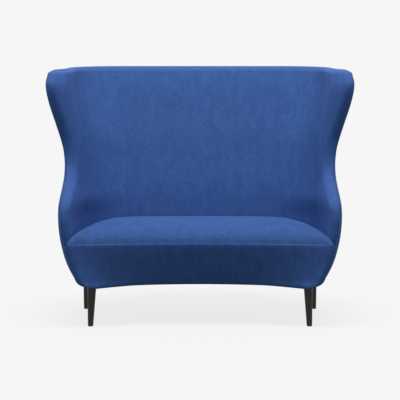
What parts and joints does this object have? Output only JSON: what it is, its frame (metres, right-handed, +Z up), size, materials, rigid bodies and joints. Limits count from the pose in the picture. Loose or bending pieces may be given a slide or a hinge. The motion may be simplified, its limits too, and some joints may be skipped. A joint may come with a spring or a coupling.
{
  "type": "high back settee",
  "caption": "High back settee: one curved upholstered shell forms back, wings and arms around a domed sprung seat on turned, splayed wooden legs.",
  "frame": {"origin": "on the floor, under the middle of the whole settee", "axes": "+X to the right of someone looking at its front, +Y from the front to the back, +Z up"},
  "size_m": [1.5305, 0.8432, 1.3114],
  "materials": {
    "blue_wool": "matte",
    "foam": "matte",
    "hessian": "matte",
    "black_cloth": "matte",
    "plywood": "matte",
    "hardwood": "matte",
    "stained_wood": "satin",
    "steel": "satin",
    "rubber_webbing": "matte",
    "nylon": "matte"
  },
  "bodies": {
    "root": {"inside_cover": "blue_wool", "seat_cover": "blue_wool", "front_border_cover": "blue_wool", "outside_back_cover": "blue_wool", "outside_side_cover_left": "blue_wool", "outside_side_cover_right": "blue_wool", "inside_back_foam": "foam", "side_foam_left": "foam", "side_foam_right": "foam", "seat_top_foam": "foam", "seat_base_foam": "foam", "front_border_foam": "foam", "back_hessian": "hessian", "seat_deck_cloth": "hessian", "dust_cover": "black_cloth", "outside_back_panel": "plywood", "outside_side_panel_left": "plywood", "outside_side_panel_right": "plywood", "seat_former": "plywood", "arm_former": "plywood", "waist_former": "plywood", "shoulder_former": "plywood", "top_rail": "plywood", "edge_former_left": "plywood", "edge_former_right": "plywood", "seat_front_rail": "hardwood", "seat_rear_rail": "hardwood", "seat_side_rail_left": "hardwood", "seat_side_rail_right": "hardwood", "seat_centre_stretcher": "hardwood", "corner_block_front_left": "hardwood", "corner_block_front_right": "hardwood", "corner_block_rear_left": "hardwood", "corner_block_rear_right": "hardwood", "back_post_left": "hardwood", "back_post_right": "hardwood", "back_centre_post": "hardwood", "side_post_left": "hardwood", "side_post_right": "hardwood", "rail_dowels": "hardwood", "leg_front_left": "stained_wood", "leg_front_right": "stained_wood", "leg_rear_left": "stained_wood", "leg_rear_right": "stained_wood", "seat_springs": "steel", "spring_clips": "steel", "spring_tie_wires": "steel", "leg_plates": "steel", "leg_bolts": "steel", "leg_plate_screws": "steel", "rail_screws": "steel", "dust_cover_staples": "steel", "back_webbing": "rubber_webbing", "leg_glides": "nylon"}
  },
  "joints": []
}
